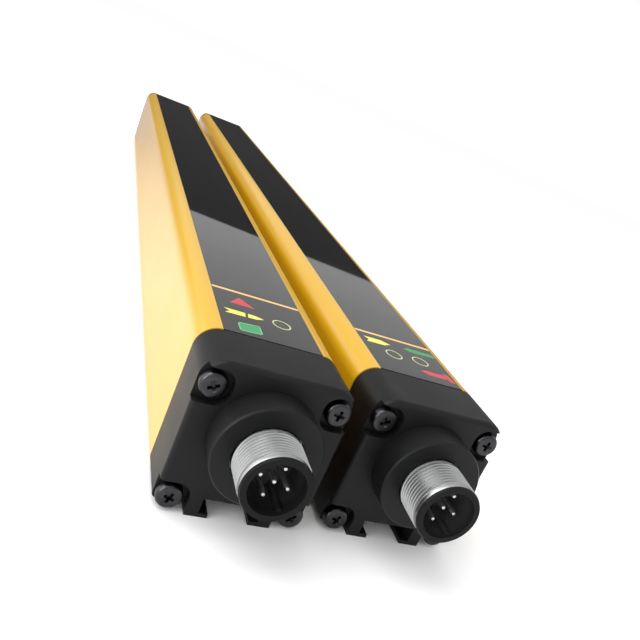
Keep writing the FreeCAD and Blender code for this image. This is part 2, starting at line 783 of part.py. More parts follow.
def build_bar(bar):
    """All the pieces of one bar, from the profile inward."""
    pieces = [
        piece(bar, "profile", make_profile),
        piece(bar, "window", make_window, bar.label_reach),
        piece(bar, "window_tape", make_window_tape),
        piece(bar, "label", make_label, bar.label_reach),
        piece(bar, "connector_cap", make_connector_cap),
        piece(bar, "connector_cap_gasket", make_gasket, cap_joint),
        piece(bar, "connector_cap_screws", make_connector_cap_screws),
        piece(bar, "far_cap", make_far_cap),
        piece(bar, "far_cap_gasket", make_gasket, profile_end),
        piece(bar, "far_cap_screws", make_far_cap_screws),
        piece(bar, "plug_shell", make_plug_shell),
        piece(bar, "plug_lock_nut", make_plug_lock_nut),
        piece(bar, "plug_insert", make_plug_insert),
        piece(bar, "plug_pins", make_plug_pins),
        piece(bar, "plug_board", make_plug_board),
        piece(bar, "flat_cable", make_flat_cable),
        piece(bar, "cable_socket", make_cable_socket),
        piece(bar, "control_board", make_control_board),
        piece(bar, "control_chips", make_control_chips),
        piece(bar, "board_header", make_board_header),
        piece(bar, "optics_board", make_optics_board),
        piece(bar, "optics_carrier", make_optics_carrier),
        piece(bar, "lens_strip", make_lens_strip),
        piece(bar, "status_leds", make_status_leds, bar.lights),
        piece(bar, "light_guides", make_light_guides, bar.lights),
    ]
    if bar.side < 0:
        pieces.append(piece(bar, "infrared_leds", make_beam_parts, s.diode_side, s.diode_height))
    else:
        pieces.append(piece(bar, "photodiodes", make_beam_parts, s.cell_side, s.cell_height))
    return pieces


def check_features():
    """Stop where an object failed or where a cut took nothing away."""
    for item in doc.Objects:
        if "Invalid" in item.State or "Error" in item.State:
            raise RuntimeError(f"{item.Name} did not recompute: {item.State}")
        if item.TypeId in ("PartDesign::Pocket", "PartDesign::Groove"):
            if item.Shape.Volume > item.BaseFeature.Shape.Volume - 1e-3:
                raise RuntimeError(f"{item.Name} cut nothing")


def write_pieces(pieces):
    """Check each piece and write it to its own file."""
    for body in pieces:
        if body.Shape.isNull() or not body.Shape.isValid():
            raise RuntimeError(f"{body.Label} has no valid shape")
    os.makedirs(PARTS_FOLDER, exist_ok=True)
    for body in pieces:
        body.Shape.exportStep(os.path.join(PARTS_FOLDER, f"{body.Label}.step"))
        print(f"{body.Label}: {len(body.Shape.Solids)} solids, {body.Shape.Volume:.2f} mm3")


emitter = Bar("emitter", -1, length(0), s.emitter_label_reach, [s.emitter_light_offset])
receiver = Bar("receiver", 1, s.receiver_setback, s.receiver_label_reach,
               [-s.receiver_light_offset, s.receiver_light_offset])
all_pieces = build_bar(emitter) + build_bar(receiver)
doc.recompute()
check_features()
write_pieces(all_pieces)
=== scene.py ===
import logging
import math
from dataclasses import dataclass, field
from enum import Enum
from typing import Callable, Optional, Sequence

import bpy
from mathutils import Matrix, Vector


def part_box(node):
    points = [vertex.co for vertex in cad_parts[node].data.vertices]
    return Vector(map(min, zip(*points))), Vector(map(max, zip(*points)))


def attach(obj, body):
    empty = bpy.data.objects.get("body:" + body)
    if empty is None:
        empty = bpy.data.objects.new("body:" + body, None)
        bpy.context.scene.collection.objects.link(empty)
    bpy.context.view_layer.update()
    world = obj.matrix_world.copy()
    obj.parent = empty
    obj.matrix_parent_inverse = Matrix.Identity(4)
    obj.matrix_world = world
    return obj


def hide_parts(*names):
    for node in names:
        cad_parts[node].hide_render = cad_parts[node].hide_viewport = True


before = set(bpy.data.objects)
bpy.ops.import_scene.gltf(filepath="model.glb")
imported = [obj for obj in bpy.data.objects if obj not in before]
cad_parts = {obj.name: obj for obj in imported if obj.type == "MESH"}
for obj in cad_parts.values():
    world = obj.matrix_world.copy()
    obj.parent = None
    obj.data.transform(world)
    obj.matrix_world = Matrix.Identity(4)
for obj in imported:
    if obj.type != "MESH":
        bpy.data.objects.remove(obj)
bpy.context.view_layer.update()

LOG = logging.getLogger("light_curtain")
MM = 0.001
QUARTER = math.pi / 2
CAVITY_DEPTH = 8.0 * MM
Colour = tuple[float, float, float]
Point = tuple[float, float, float]
Place = tuple[float, float]

# How squarely a face has to look along an axis, and how near points are taken as one

FACING = 0.9
SAME_SPOT = 1e-9
CUT_GAP = 1e-7
THREAD_WELD = 1e-6
MESH_WELD = 0.002 * MM
SMOOTH_ANGLE = math.radians(32)

# The standard curve from screen values to linear light

SCREEN_FULL = 255
SCREEN_KNEE = 0.04045
SCREEN_SLOPE = 12.92
SCREEN_OFFSET = 0.055
SCREEN_POWER = 2.4


class Bar(Enum):
    """The two bars of the pair, by the prefix of their pieces."""

    EMITTER = "emitter"
    RECEIVER = "receiver"


class Cap(Enum):
    """The two ends of a bar that screws hold."""

    CONNECTOR = "connector_cap"
    FAR = "far_cap"


# Helpers for modelling by operators

def clear_selection() -> None:
    """Leave object mode with nothing selected."""
    if bpy.context.object and bpy.context.object.mode != "OBJECT":
        bpy.ops.object.mode_set(mode="OBJECT")
    bpy.ops.object.select_all(action="DESELECT")


def pick(piece: bpy.types.Object) -> None:
    """Make a piece the one that operators act on.

    Args:
        piece: The object to select alone.
    """
    clear_selection()
    piece.select_set(True)
    bpy.context.view_layer.objects.active = piece


def select_points(piece: bpy.types.Object, test: Callable[[Vector], bool]) -> None:
    """Select the vertices of a piece that pass a test and stay in edit mode.

    Args:
        piece: The mesh object in work.
        test: Says for a vertex's place whether it is taken.
    """
    pick(piece)
    bpy.ops.object.mode_set(mode="EDIT")
    bpy.ops.mesh.select_mode(type="VERT")
    bpy.ops.mesh.select_all(action="DESELECT")
    bpy.ops.object.mode_set(mode="OBJECT")
    for vertex in piece.data.vertices:
        vertex.select = test(vertex.co)
    bpy.ops.object.mode_set(mode="EDIT")


def select_faces(piece: bpy.types.Object, test: Callable[[Vector, Vector], bool]) -> None:
    """Select the faces of a piece that pass a test and stay in edit mode.

    Args:
        piece: The mesh object in work.
        test: Says for a face's centre and normal whether it is taken.
    """
    pick(piece)
    bpy.ops.object.mode_set(mode="EDIT")
    bpy.ops.mesh.select_mode(type="FACE")
    bpy.ops.mesh.select_all(action="DESELECT")
    bpy.ops.object.mode_set(mode="OBJECT")
    for polygon in piece.data.polygons:
        polygon.select = test(polygon.center, polygon.normal)
    bpy.ops.object.mode_set(mode="EDIT")


def apply_modifier(piece: bpy.types.Object, kind: str, **settings: object) -> None:
    """Add a modifier, set it and apply it.

    Args:
        piece: The object that gets it.
        kind: Blender's name of the modifier type.
        settings: Its properties by name.
    """
    pick(piece)
    modifier = piece.modifiers.new(kind.lower(), kind)
    for name, value in settings.items():
        setattr(modifier, name, value)
    bpy.ops.object.modifier_apply(modifier=modifier.name)


def combine(piece: bpy.types.Object, other: bpy.types.Object, operation: str) -> None:
    """Join or cut a piece with another, which is used up.

    Args:
        piece: The object that stays.
        other: The object that is added or taken away.
        operation: UNION or DIFFERENCE.
    """
    apply_modifier(piece, "BOOLEAN", operation=operation, object=other, solver="EXACT")
    bpy.data.objects.remove(other)


def join(pieces: Sequence[bpy.types.Object], name: str) -> bpy.types.Object:
    """Join several objects into one.

    Args:
        pieces: The objects; the first one stays.
        name: The name of the joined piece.

    Returns:
        The joined object.
    """
    clear_selection()
    for piece in pieces:
        piece.select_set(True)
    bpy.context.view_layer.objects.active = pieces[0]
    bpy.ops.object.join()
    pieces[0].name = name
    return pieces[0]


def set_down(piece: bpy.types.Object) -> None:
    """Put the place, turn and scale of a piece into its mesh."""
    pick(piece)
    bpy.ops.object.transform_apply(location=True, rotation=True, scale=True)


def tidy_mesh(piece: bpy.types.Object, angle: float = SMOOTH_ANGLE) -> None:
    """Merge doubles, point faces outward and smooth the shallow edges.

    Args:
        piece: The object to tidy.
        angle: Edges flatter than this are shaded smooth.
    """
    pick(piece)
    bpy.ops.object.mode_set(mode="EDIT")
    bpy.ops.mesh.select_all(action="SELECT")
    bpy.ops.mesh.remove_doubles(threshold=MESH_WELD)
    bpy.ops.mesh.normals_make_consistent(inside=False)
    bpy.ops.object.mode_set(mode="OBJECT")
    bpy.ops.object.shade_smooth_by_angle(angle=angle)


def copy_piece(piece: bpy.types.Object, shift: Vector) -> bpy.types.Object:
    """Copy a piece with a mesh of its own to another place.

    Args:
        piece: The finished original.
        shift: How far the copy lies from it.

    Returns:
        The copy, with its place in its mesh.
    """
    twin = piece.copy()
    twin.data = piece.data.copy()
    bpy.context.collection.objects.link(twin)
    twin.location = shift
    set_down(twin)
    return twin


def rod(radius: float, length: float, start: Vector, sides: int, turn: float = 0.0) -> bpy.types.Object:
    """Round or many-sided rod along the bar.

    Args:
        radius: Its radius to the corners.
        length: Its length.
        start: Centre of the end that is nearest to the plug's tip.
        sides: Number of its sides.
        turn: Its turn about its own axis; without it a corner points up.

    Returns:
        The rod, with its place in its mesh.
    """
    clear_selection()
    centre = start + Vector((0, length / 2, 0))
    bpy.ops.mesh.primitive_cylinder_add(
        vertices=sides, radius=radius, depth=length, location=centre, rotation=(QUARTER, turn, 0))
    piece = bpy.context.object
    set_down(piece)
    return piece


# Finishes

def linear(red: int, green: int, blue: int) -> Colour:
    """Turn a screen colour into the linear values that shaders take.

    Args:
        red: Its red, from 0 to 255.
        green: Its green.
        blue: Its blue.

    Returns:
        The linear colour.
    """
    def channel(value: int) -> float:
        """Turn one channel.

        Args:
            value: Its screen value.

        Returns:
            Its linear value.
        """
        share = value / SCREEN_FULL
        if share <= SCREEN_KNEE:
            return share / SCREEN_SLOPE
        return ((share + SCREEN_OFFSET) / (1 + SCREEN_OFFSET)) ** SCREEN_POWER
    return channel(red), channel(green), channel(blue)


class GrainEffect:
    """Node group of a moulded, coated or machined surface: fine relief and uneven gloss."""

    NAME = "surface grain"
    FINE_DETAIL = 3.0
    BROAD_DETAIL = 4.0
    FINE_SHARE = 0.35
    MIX_LOW = 0.35
    MIX_HIGH = 1.0

    @staticmethod
    def noise(
            tree: bpy.types.NodeTree, vector: bpy.types.NodeSocket, scale: bpy.types.NodeSocket,
            detail: float) -> bpy.types.Node:
        """Add a noise texture.

        Args:
            tree: The group's node tree.
            vector: Where the noise is read.
            scale: How fine it is.
            detail: How many finer layers it has.

        Returns:
            The texture node.
        """
        texture = tree.nodes.new("ShaderNodeTexNoise")
        texture.inputs["Detail"].default_value = detail
        tree.links.new(vector, texture.inputs["Vector"])
        tree.links.new(scale, texture.inputs["Scale"])
        return texture

    @classmethod
    def group(cls) -> bpy.types.NodeTree:
        """Build the group once.

        Returns:
            The node group with its inputs and outputs.
        """
        known = bpy.data.node_groups.get(cls.NAME)
        if known:
            return known
        tree = bpy.data.node_groups.new(cls.NAME, "ShaderNodeTree")
        for name in ("Stretch X", "Stretch Y", "Stretch Z", "Grain", "Patches", "Gloss Low", "Gloss High"):
            tree.interface.new_socket(name, in_out="INPUT", socket_type="NodeSocketFloat")
        for name in ("Height", "Roughness", "Tone"):
            tree.interface.new_socket(name, in_out="OUTPUT", socket_type="NodeSocketFloat")
        entry = tree.nodes.new("NodeGroupInput")
        leave = tree.nodes.new("NodeGroupOutput")
        place = tree.nodes.new("ShaderNodeTexCoord")
        stretch = tree.nodes.new("ShaderNodeCombineXYZ")
        for axis in "XYZ":
            tree.links.new(entry.outputs[f"Stretch {axis}"], stretch.inputs[axis])
        scaled = tree.nodes.new("ShaderNodeVectorMath")
        scaled.operation = "MULTIPLY"
        tree.links.new(place.outputs["Object"], scaled.inputs[0])
        tree.links.new(stretch.outputs["Vector"], scaled.inputs[1])
        fine = cls.noise(tree, scaled.outputs["Vector"], entry.outputs["Grain"], cls.FINE_DETAIL)
        broad = cls.noise(tree, place.outputs["Object"], entry.outputs["Patches"], cls.BROAD_DETAIL)
        mixed = tree.nodes.new("ShaderNodeMath")
        mixed.operation = "MULTIPLY_ADD"
        mixed.inputs[1].default_value = cls.FINE_SHARE
        tree.links.new(fine.outputs["Fac"], mixed.inputs[0])
        tree.links.new(broad.outputs["Fac"], mixed.inputs[2])
        gloss = tree.nodes.new("ShaderNodeMapRange")
        gloss.inputs["From Min"].default_value = cls.MIX_LOW
        gloss.inputs["From Max"].default_value = cls.MIX_HIGH
        tree.links.new(mixed.outputs["Value"], gloss.inputs["Value"])
        tree.links.new(entry.outputs["Gloss Low"], gloss.inputs["To Min"])
        tree.links.new(entry.outputs["Gloss High"], gloss.inputs["To Max"])
        tree.links.new(fine.outputs["Fac"], leave.inputs["Height"])
        tree.links.new(gloss.outputs["Result"], leave.inputs["Roughness"])
        tree.links.new(broad.outputs["Fac"], leave.inputs["Tone"])
        return tree


@dataclass(frozen=True)
class Fade:
    """Fade of a surface's colour into another between two places on the piece's own Y axis."""

    start: float
    end: float
    colour: Colour

    def blend(self, tree: bpy.types.NodeTree, tone: bpy.types.NodeSocket) -> bpy.types.NodeSocket:
        """Blend a surface's colour into the other one.

        Args:
            tree: The material's node tree.
            tone: The colour of the surface where the fade starts.

        Returns:
            The blended colour.
        """
        place = tree.nodes.new("ShaderNodeTexCoord")
        split = tree.nodes.new("ShaderNodeSeparateXYZ")
        tree.links.new(place.outputs["Object"], split.inputs["Vector"])
        depth = tree.nodes.new("ShaderNodeMapRange")
        depth.inputs["From Min"].default_value = self.start
        depth.inputs["From Max"].default_value = self.end
        tree.links.new(split.outputs["Y"], depth.inputs["Value"])
        mix = tree.nodes.new("ShaderNodeMix")
        mix.data_type = "RGBA"
        mix.inputs["B"].default_value = (*self.colour, 1.0)
        tree.links.new(depth.outputs["Result"], mix.inputs["Factor"])
        tree.links.new(tone, mix.inputs["A"])
        return mix.outputs["Result"]


@dataclass(frozen=True)
class Finish:
    """A surface finish: two near colours, its gloss and its relief."""

    name: str
    colour: Colour
    second: Colour
    gloss: tuple[float, float]
    grain: float
    relief: float
    patches: float = 60.0
    stretch: tuple[float, float, float] = (1.0, 1.0, 1.0)
    metallic: float = 0.0
    specular: float = 0.5
    coat: float = 0.0
    coat_rough: float = 0.03
    transmission: float = 0.0
    fade: Optional[Fade] = None

    def material(self) -> bpy.types.Material:
        """Build the material once.

        Returns:
            The node material of this finish.
        """
        known = bpy.data.materials.get(self.name)
        if known:
            return known
        material = bpy.data.materials.new(self.name)
        material.use_nodes = True
        material.diffuse_color = (*self.colour, 1.0)
        tree = material.node_tree
        shader = tree.nodes["Principled BSDF"]
        shader.inputs["Metallic"].default_value = self.metallic
        shader.inputs["Specular IOR Level"].default_value = self.specular
        shader.inputs["Coat Weight"].default_value = self.coat
        shader.inputs["Coat Roughness"].default_value = self.coat_rough
        shader.inputs["Transmission Weight"].default_value = self.transmission
        grain = tree.nodes.new("ShaderNodeGroup")
        grain.node_tree = GrainEffect.group()
        for axis, value in zip("XYZ", self.stretch):
            grain.inputs[f"Stretch {axis}"].default_value = value
        grain.inputs["Grain"].default_value = self.grain
        grain.inputs["Patches"].default_value = self.patches
        grain.inputs["Gloss Low"].default_value = self.gloss[0]
        grain.inputs["Gloss High"].default_value = self.gloss[1]
        blend = tree.nodes.new("ShaderNodeMix")
        blend.data_type = "RGBA"
        blend.inputs["A"].default_value = (*self.colour, 1.0)
        blend.inputs["B"].default_value = (*self.second, 1.0)
        tree.links.new(grain.outputs["Tone"], blend.inputs["Factor"])
        tone = blend.outputs["Result"]
        # Only the plug plastic has a fade on its finish: painted light that makes its cavity lighter grey
        # further in
        if self.fade:
            tone = self.fade.blend(tree, tone)
        tree.links.new(tone, shader.inputs["Base Color"])
        tree.links.new(grain.outputs["Roughness"], shader.inputs["Roughness"])
        bump = tree.nodes.new("ShaderNodeBump")
        bump.inputs["Distance"].default_value = self.relief
        tree.links.new(grain.outputs["Height"], bump.inputs["Height"])
        tree.links.new(bump.outputs["Normal"], shader.inputs["Normal"])
        return material


YELLOW_PAINT = Finish(
    "yellow powder paint", (0.63, 0.362, 0.006), (0.615, 0.352, 0.005), (0.29, 0.35), 2600.0, 0.004 * MM,
    patches=35.0, specular=0.4, coat=0.4, coat_rough=0.15)
DARK_WINDOW = Finish(
    "dark filter window", (0.006, 0.006, 0.0065), (0.008, 0.008, 0.009), (0.012, 0.03), 900.0, 0.0001 * MM,
    patches=25.0, specular=0.38)
PRINTED_FILM = Finish(
    "black printed film", (0.007, 0.007, 0.0075), (0.01, 0.01, 0.01), (0.05, 0.08), 1800.0, 0.0004 * MM,
    patches=45.0, specular=0.32)
BLACK_CAP = Finish(
    "black cap plastic", (0.006, 0.0062, 0.0064), (0.0085, 0.0087, 0.009), (0.38, 0.50), 5200.0, 0.010 * MM,
    patches=90.0, specular=0.17)
INSERT_PLASTIC = Finish(
    "black insert plastic", (0.009, 0.0092, 0.0092), (0.012, 0.012, 0.012), (0.30, 0.42), 4200.0, 0.006 * MM,
    patches=140.0, specular=0.06)
# Painted light: the plug's black plastic turns lighter grey from the front rim to 8 mm into the cavity,
# standing in for light that reaches the cavity's walls and floor
CAVITY_PAINTED_LIGHT = Fade(
    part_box("receiver_plug_insert")[0].y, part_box("emitter_plug_insert")[0].y + CAVITY_DEPTH,
    (0.065, 0.065, 0.065))
PLUG_PLASTIC_WITH_PAINTED_LIGHT = Finish(
    "black plug plastic with painted cavity light", (0.008, 0.0082, 0.0082), (0.011, 0.011, 0.011), (0.30, 0.42), 4200.0, 0.006 * MM,
    patches=140.0, specular=0.06, fade=CAVITY_PAINTED_LIGHT)
GASKET_RUBBER = Finish(
    "gasket rubber", (0.006, 0.006, 0.006), (0.009, 0.009, 0.009), (0.6, 0.75), 3200.0, 0.01 * MM)
BLACK_TAPE = Finish(
    "window tape", (0.008, 0.008, 0.008), (0.012, 0.012, 0.012), (0.55, 0.7), 2400.0, 0.006 * MM)
NICKEL = Finish(
    "nickel plated brass", linear(180, 181, 180), linear(166, 168, 167), (0.26, 0.34), 900.0, 0.002 * MM,
    patches=420.0, stretch=(1.0, 6.0, 1.0), metallic=1.0)
PIN_METAL = Finish(
    "plated pin metal", linear(222, 222, 220), linear(206, 206, 202), (0.34, 0.46), 1500.0, 0.002 * MM,
    patches=600.0, metallic=1.0)
DARK_SCREW = Finish(
    "blackened screw steel", linear(72, 72, 74), linear(50, 50, 52), (0.22, 0.40), 2800.0, 0.006 * MM,
    patches=650.0, metallic=1.0)
SOLDER_MASK = Finish(
    "green solder mask", linear(14, 84, 46), linear(10, 66, 38), (0.25, 0.4), 1200.0, 0.004 * MM)
CABLE_FILM = Finish(
    "amber cable film", linear(196, 132, 44), linear(176, 112, 34), (0.3, 0.45), 900.0, 0.002 * MM)
CLEAR_PLASTIC = Finish(
    "clear lens plastic", (0.85, 0.87, 0.88), (0.8, 0.83, 0.85), (0.04, 0.09), 600.0, 0.0008 * MM,
    transmission=0.85)
CREAM_INK = Finish(
    "cream ink", linear(206, 210, 160), linear(200, 204, 152), (0.4, 0.55), 4200.0, 0.001 * MM)
AMBER_INK = Finish(
    "amber line ink", linear(238, 190, 122), linear(232, 184, 114), (0.4, 0.55), 4200.0, 0.001 * MM)
LEMON_INK = Finish(
    "lemon ink", linear(236, 230, 104), linear(230, 222, 96), (0.4, 0.55), 4200.0, 0.001 * MM)
RED_INK = Finish(
    "red ink", linear(198, 70, 80), linear(190, 62, 72), (0.4, 0.55), 4200.0, 0.001 * MM)
GREEN_INK = Finish(
    "green ink", linear(62, 154, 96), linear(54, 144, 88), (0.4, 0.55), 4200.0, 0.001 * MM)
PALE_GREEN_INK = Finish(
    "pale green ink", linear(128, 200, 146), linear(120, 192, 138), (0.4, 0.55), 4200.0, 0.001 * MM)
SMOKED_INK = Finish(
    "smoked ink", linear(52, 54, 40), linear(44, 46, 34), (0.2, 0.3), 2200.0, 0.0005 * MM)


@dataclass(frozen=True)
class Dressing:
    """Which finish each carried-over piece of a bar wears."""

    finishes: dict[str, Finish] = field(default_factory=lambda: {
        "profile": YELLOW_PAINT,
        "window": DARK_WINDOW,
        "window_tape": BLACK_TAPE,
        "label": PRINTED_FILM,
        "connector_cap": BLACK_CAP,
        "connector_cap_gasket": GASKET_RUBBER,
        "connector_cap_screws": DARK_SCREW,
        "far_cap": BLACK_CAP,
        "far_cap_gasket": GASKET_RUBBER,
        "far_cap_screws": DARK_SCREW,
        "plug_shell": NICKEL,
        "plug_lock_nut": NICKEL,
        # The plug insert's plastic carries painted light in its cavity
        "plug_insert": PLUG_PLASTIC_WITH_PAINTED_LIGHT,
        "plug_pins": PIN_METAL,
        "plug_board": SOLDER_MASK,
        "flat_cable": CABLE_FILM,
        "cable_socket": INSERT_PLASTIC,
        "control_board": SOLDER_MASK,
        "control_chips": INSERT_PLASTIC,
        "board_header": INSERT_PLASTIC,
        "optics_board": SOLDER_MASK,
        "optics_carrier": INSERT_PLASTIC,
        "lens_strip": CLEAR_PLASTIC,
        "status_leds": CLEAR_PLASTIC,
        "light_guides": CLEAR_PLASTIC,
        "infrared_leds": CLEAR_PLASTIC,
        "photodiodes": INSERT_PLASTIC,
    })

    def dress(self) -> None:
        """Give every carried-over piece its material."""
        for name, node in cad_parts.items():
            suffix = name.split("_", 1)[1]
            node.data.materials.clear()
            node.data.materials.append(self.finishes[suffix].material())
            LOG.info("%s wears %s", name, self.finishes[suffix].name)


# Places of a bar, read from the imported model

@dataclass(frozen=True)
class BarPlace:
    """Where a bar lies: its middle, its connector cap's joint, its top and its plug's axis and front."""

    bar: Bar
    middle: float
    joint: float
    top: float
    plug_axis: float
    plug_front: float

    @classmethod
    def of(cls, bar: Bar) -> "BarPlace":
        """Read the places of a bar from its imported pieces.

        Args:
            bar: The bar in question.

        Returns:
            Its places.
        """
        low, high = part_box(f"{bar.value}_profile")
        shell_low, shell_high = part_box(f"{bar.value}_plug_shell")
        insert_low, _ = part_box(f"{bar.value}_plug_insert")
        return cls(
            bar, (low.x + high.x) / 2, low.y, high.z, (shell_low.z + shell_high.z) / 2, insert_low.y)

    def point(self, across: float, along: float, height: float) -> Vector:
        """Point from the bar's middle, its cap joint and the ground."""
        return Vector((self.middle + across, self.joint + along, height))


def hand_over(piece: bpy.types.Object, finish: Finish, slot: str, *nodes: str) -> None:
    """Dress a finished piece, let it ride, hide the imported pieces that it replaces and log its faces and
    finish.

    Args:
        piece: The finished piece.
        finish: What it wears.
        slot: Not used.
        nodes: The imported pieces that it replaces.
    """
    piece.data.materials.clear()
    piece.data.materials.append(finish.material())
    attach(piece, "root")
    if nodes:
        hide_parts(*nodes)
    LOG.info("%s: %d faces, %s", piece.name, len(piece.data.polygons), finish.name)


@dataclass
class ThreadedShell:
    """Threaded metal shell of a plug: helical thread, plain lead-in ring, groove, collar and tail.

    The thread starts inside the lead-in ring by the sink, the neck runs into both its neighbours by the
    bite, and the cutter of the bore runs past both ends by the overrun.
    """

    place: BarPlace
    setback: float = 0.5 * MM
    crest: float = 6.0 * MM
    root: float = 5.54 * MM
    bore: float = 5.3 * MM
    pitch: float = 0.75 * MM
    flank_share: float = 5 / 16
    flat_share: float = 1 / 8
    turns: int = 11
    steps: int = 56
    lead_in: float = 1.25 * MM
    lead_radius: float = 5.86 * MM
    lead_bevel: float = 0.16 * MM
    lead_steps: int = 2
    sink: float = 0.2 * MM
    thread_length: float = 6.05 * MM
    neck_radius: float = 5.75 * MM
    neck_length: float = 0.3 * MM
    lip: float = 2.0 * MM
    tail_radius: float = 5.99 * MM
    collar_radius: float = 7.39 * MM
    collar_length: float = 2.0 * MM
    collar_sides: int = 6
    bite: float = 0.05 * MM
    overrun: float = 1.0 * MM
    smooth: float = math.radians(40)

    def draw_flank(self) -> bpy.types.Object:
        """Draw one pitch of the thread's outline as a chain of edges.

        Returns:
            The open outline, upright about its own axis.
        """
        depth = self.crest - self.root
        flank = self.pitch * self.flank_share
        flat = self.pitch * self.flat_share
        clear_selection()
        bpy.ops.mesh.primitive_plane_add(size=self.pitch)
        outline = bpy.context.object
        bpy.ops.object.mode_set(mode="EDIT")
        bpy.ops.mesh.merge(type="CENTER")
        bpy.ops.mesh.select_all(action="SELECT")
        bpy.ops.transform.translate(value=(self.root, 0, 0))
        moves = ((0, flat), (depth, flank), (0, flat), (-depth, flank), (0, flat))
        for out, up in moves:
            bpy.ops.mesh.extrude_vertices_move(TRANSFORM_OT_translate={"value": (out, 0, up)})
        bpy.ops.object.mode_set(mode="OBJECT")
        return outline

    def trim(self, piece: bpy.types.Object, height: float, keep_above: bool) -> None:
        """Cut an upright thread flat at a height and close the cut.

        Args:
            piece: The thread about the Z axis.
            height: Where it is cut.
            keep_above: Whether the part above the cut stays.
        """
        select_points(piece, lambda place: True)
        bpy.ops.mesh.bisect(
            plane_co=(0, 0, height), plane_no=(0, 0, 1), use_fill=True,
            clear_inner=keep_above, clear_outer=not keep_above, threshold=CUT_GAP)
        bpy.ops.object.mode_set(mode="OBJECT")

    def wind(self) -> bpy.types.Object:
        """Wind the thread about its own upright axis and cut both its ends flat.

        Returns:
            The closed thread, upright, with its lower end one pitch above the ground.
        """
        thread = self.draw_flank()
        apply_modifier(
            thread, "SCREW", axis="Z", angle=math.tau, screw_offset=self.pitch, iterations=self.turns,
            steps=self.steps, render_steps=self.steps, use_merge_vertices=True, merge_threshold=THREAD_WELD,
            use_normal_calculate=True)
        select_points(thread, lambda place: True)
        bpy.ops.mesh.remove_doubles(threshold=THREAD_WELD)
        bpy.ops.object.mode_set(mode="OBJECT")
        self.trim(thread, self.pitch, True)
        self.trim(thread, self.pitch + self.thread_length, False)
        return thread

    def add_lead_in(self, thread: bpy.types.Object, front: Vector) -> None:
        """Add the plain ring in front of the thread.

        Args:
            thread: The thread, in its place.
            front: Centre of the shell's front end.
        """
        lead = rod(self.lead_radius, self.lead_in, front, self.steps)
        select_faces(lead, lambda centre, normal: normal.y < -FACING)
        bpy.ops.mesh.bevel(offset=self.lead_bevel, segments=self.lead_steps, affect="EDGES")
        bpy.ops.object.mode_set(mode="OBJECT")
        combine(thread, lead, "UNION")

    def add_seat(self, thread: bpy.types.Object, neck_start: float, back: float) -> None:
        """Add the neck in the groove, the tail in the boss and the six-sided collar.

        Args:
            thread: The thread, in its place.
            neck_start: Where the thread ends and the neck starts.
            back: Where the shell ends.
        """
        tail_start = neck_start + self.neck_length
        collar_start = tail_start + self.lip
        collar_end = collar_start + self.collar_length
        for radius, start, end, sides, turn in (
                (self.neck_radius, neck_start - self.bite, tail_start + self.bite, self.steps, 0.0),
                (self.tail_radius, tail_start, back, self.steps, 0.0),
                (self.collar_radius, collar_start, collar_end, self.collar_sides, QUARTER)):
            middle = Vector((self.place.middle, start, self.place.plug_axis))
            combine(thread, rod(radius, end - start, middle, sides, turn), "UNION")

    def build(self) -> bpy.types.Object:
        """Model the shell.

        Returns:
            The finished shell.
        """
        front = Vector((self.place.middle, self.place.plug_front + self.setback, self.place.plug_axis))
        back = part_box(f"{self.place.bar.value}_plug_shell")[1].y
        thread_start = front.y + self.lead_in - self.sink
        thread = self.wind()
        thread.rotation_euler = (-QUARTER, 0, 0)
        thread.location = Vector((front.x, thread_start - self.pitch, front.z))
        set_down(thread)
        self.add_lead_in(thread, front)
        self.add_seat(thread, thread_start + self.thread_length, back)
        over = Vector((0, self.overrun, 0))
        bore = rod(self.bore, back - front.y + 2 * self.overrun, front - over, self.steps)
        combine(thread, bore, "DIFFERENCE")
        tidy_mesh(thread, self.smooth)
        thread.name = f"{self.place.bar.value}_threaded_shell"
        hand_over(thread, NICKEL, "nickel", f"{self.place.bar.value}_plug_shell")
        return thread


@dataclass
class PlugPins:
    """Five round contact pins with rounded tips, standing in the plug."""

    place: BarPlace
    radius: float = 0.5 * MM
    taper: float = 0.9 * MM
    tip_share: float = 0.66
    tip_round: float = 0.14 * MM
    tip_steps: int = 4
    sides: int = 32
    outer: int = 4
    circle: float = 2.8 * MM
    turn: float = math.radians(71.7)
    setback: float = 2.2 * MM
    length: float = 15.0 * MM

    def build(self) -> bpy.types.Object:
        """Model the pins.

        Returns:
            The five pins as one piece.
        """
        shoulder = self.place.plug_front + self.setback + self.taper
        start = Vector((self.place.middle, shoulder, self.place.plug_axis))
        first = rod(self.radius, self.length - self.taper, start, self.sides)
        select_faces(first, lambda centre, normal: normal.y < -FACING)
        bpy.ops.mesh.extrude_region_move(TRANSFORM_OT_translate={"value": (0, -self.taper, 0)})
        bpy.ops.transform.resize(value=(self.tip_share, 1, self.tip_share))
        bpy.ops.mesh.bevel(offset=self.tip_round, segments=self.tip_steps, affect="EDGES")
        bpy.ops.object.mode_set(mode="OBJECT")
        pins = [first]
        for index in range(self.outer):
            angle = self.turn + index * math.tau / self.outer
            shift = Vector((self.circle * math.cos(angle), 0, self.circle * math.sin(angle)))
            pins.append(copy_piece(first, shift))
        joined = join(pins, f"{self.place.bar.value}_contact_pins")
        tidy_mesh(joined)
        hand_over(joined, PIN_METAL, "pin_metal", f"{self.place.bar.value}_plug_pins")
        return joined


